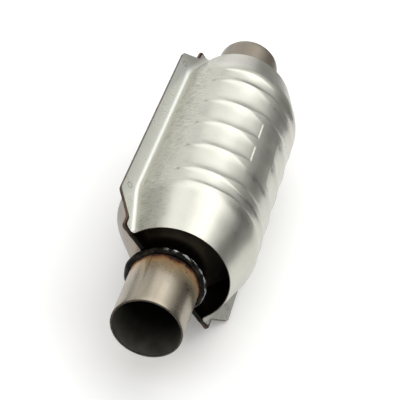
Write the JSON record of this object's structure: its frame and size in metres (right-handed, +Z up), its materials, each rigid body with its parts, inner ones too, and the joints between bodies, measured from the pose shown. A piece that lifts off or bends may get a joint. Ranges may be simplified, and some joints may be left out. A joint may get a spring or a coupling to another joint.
{
  "type": "catalytic converter",
  "caption": "Round catalytic converter with a clamshell body, a stamped and ribbed heat shield over its upper half, and a plain pipe stub welded into each end.",
  "frame": {"origin": "on the floor under the middle of the converter, as it lies at rest", "axes": "+X along the pipe axis towards the inlet, +Z up"},
  "size_m": [0.39, 0.1228, 0.1222],
  "materials": {
    "heat_shield": "aluminised sheet, satin, with drawing marks",
    "shell": "stainless sheet, satin, heat-tinted brown to black at the necks",
    "pipe": "stainless tube, brushed, heat-tinted straw and brown at the weld",
    "weld": "rippled weld bead, dark oxide with bright spots",
    "brick": "matt washcoated honeycomb",
    "mat": "matt fibre mat",
    "wire_mesh": "knitted wire, matt",
    "spacer": "stainless sheet, satin"
  },
  "bodies": {
    "root": {"heat_shield": "heat_shield", "shell_upper": "shell", "shell_lower": "shell", "inlet_pipe": "pipe", "outlet_pipe": "pipe", "inlet_weld": "weld", "outlet_weld": "weld", "seam_weld_left": "weld", "seam_weld_right": "weld", "front_brick": "brick", "rear_brick": "brick", "front_mat": "mat", "rear_mat": "mat", "front_brick_inlet_seal": "wire_mesh", "front_brick_middle_seal": "wire_mesh", "rear_brick_middle_seal": "wire_mesh", "rear_brick_outlet_seal": "wire_mesh", "brick_spacer": "spacer"}
  },
  "joints": []
}
